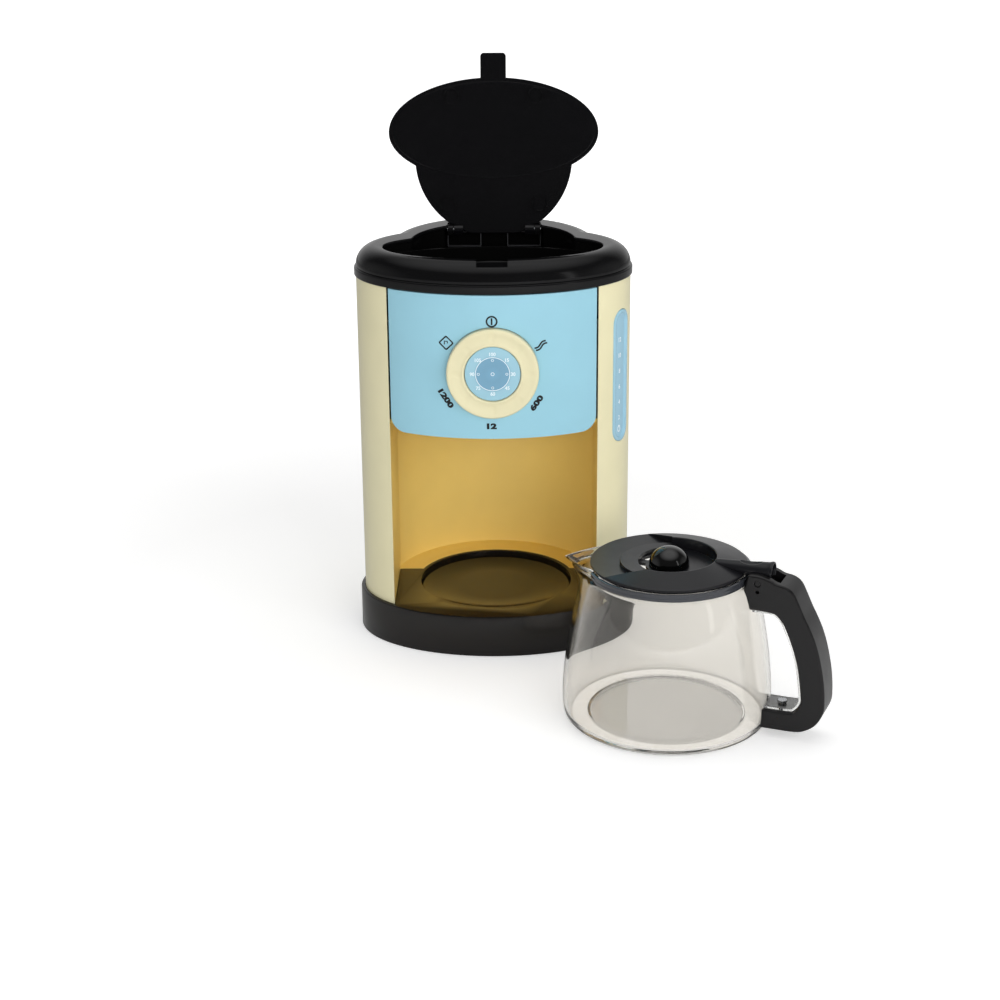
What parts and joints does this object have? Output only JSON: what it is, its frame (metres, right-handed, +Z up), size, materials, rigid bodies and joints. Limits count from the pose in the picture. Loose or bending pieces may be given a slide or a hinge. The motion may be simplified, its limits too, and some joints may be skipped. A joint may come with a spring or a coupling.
{
  "type": "toy coffee maker",
  "caption": "Toy filter coffee maker with a folding tank lid, a turning front dial and a clear lidded jug.",
  "frame": {"origin": "centre of the machine's flat underside, on the axis of the wide ellipse of its plan", "axes": "+Z up, +X to the right of the machine, the front with the dial faces -Y"},
  "size_m": [0.255, 0.2624, 0.3213],
  "materials": {
    "cream": "glossy",
    "panel_blue": "glossy",
    "gauge_blue": "glossy",
    "dial_blue": "glossy",
    "gloss_black": "glossy",
    "base_black": "satin",
    "handle_black": "satin",
    "knob_black": "glossy",
    "jug_clear": "clear",
    "steel": "brushed",
    "spring_steel": "drawn wire"
  },
  "bodies": {
    "machine": {"base_tray": "base_black", "base_cover": "base_black", "base_screw_1": "steel", "base_screw_2": "steel", "base_screw_3": "steel", "base_screw_4": "steel", "hot_plate": "gloss_black", "body_shell": "cream", "bay_liner": "cream", "brew_deck": "cream", "front_panel": "panel_blue", "sight_gauge": "gauge_blue", "top_cap": "gloss_black", "water_tank": "gloss_black", "lid_hinge_pin_left": "steel", "lid_hinge_pin_right": "steel", "filter_basket": "base_black", "drip_tube": "base_black", "drip_nozzle": "base_black", "valve_spring": "spring_steel", "dial_hub": "cream", "dial_face": "dial_blue", "dial_bracket": "base_black", "bracket_screw_1": "steel", "bracket_screw_2": "steel", "bracket_screw_3": "steel", "click_spring": "spring_steel"},
    "dial": {"dial_ring": "cream", "click_wheel": "base_black"},
    "tank_lid": {"tank_lid": "gloss_black"},
    "drip_valve": {"drip_valve": "base_black"},
    "jug": {"jug_body": "jug_clear", "neck_band": "gloss_black", "jug_handle": "handle_black", "handle_liner": "jug_clear", "handle_screw": "steel", "jug_hinge_pin": "handle_black"},
    "jug_lid": {"jug_lid": "handle_black", "lid_knob": "knob_black"}
  },
  "joints": [
    {"name": "dial_turn", "type": "hinge", "parent": "machine", "child": "dial", "pos_m": [0, -0.0523, 0.1666], "axis": [0, -1, 0], "continuous": true},
    {"name": "tank_lid_hinge", "type": "hinge", "parent": "machine", "child": "tank_lid", "pos_m": [0, 0.049, 0.223], "axis": [1, 0, 0], "range_deg": [0, 100]},
    {"name": "drip_valve_push", "type": "slide", "parent": "machine", "child": "drip_valve", "axis": [0, 0, 1], "range_m": [0, 0.004], "stiffness_N_per_m": 60, "springref_m": -0.001, "deforming": ["valve_spring"]},
    {"name": "jug_lift", "type": "slide", "parent": "machine", "child": "jug", "axis": [0, 0, 1], "range_m": [0, 0.15]},
    {"name": "jug_lid_hinge", "type": "hinge", "parent": "jug", "child": "jug_lid", "pos_m": [0.13826, -0.1443, 0.0843], "axis": [0.3697, 0.9291, 0], "range_deg": [0, 75]}
  ]
}
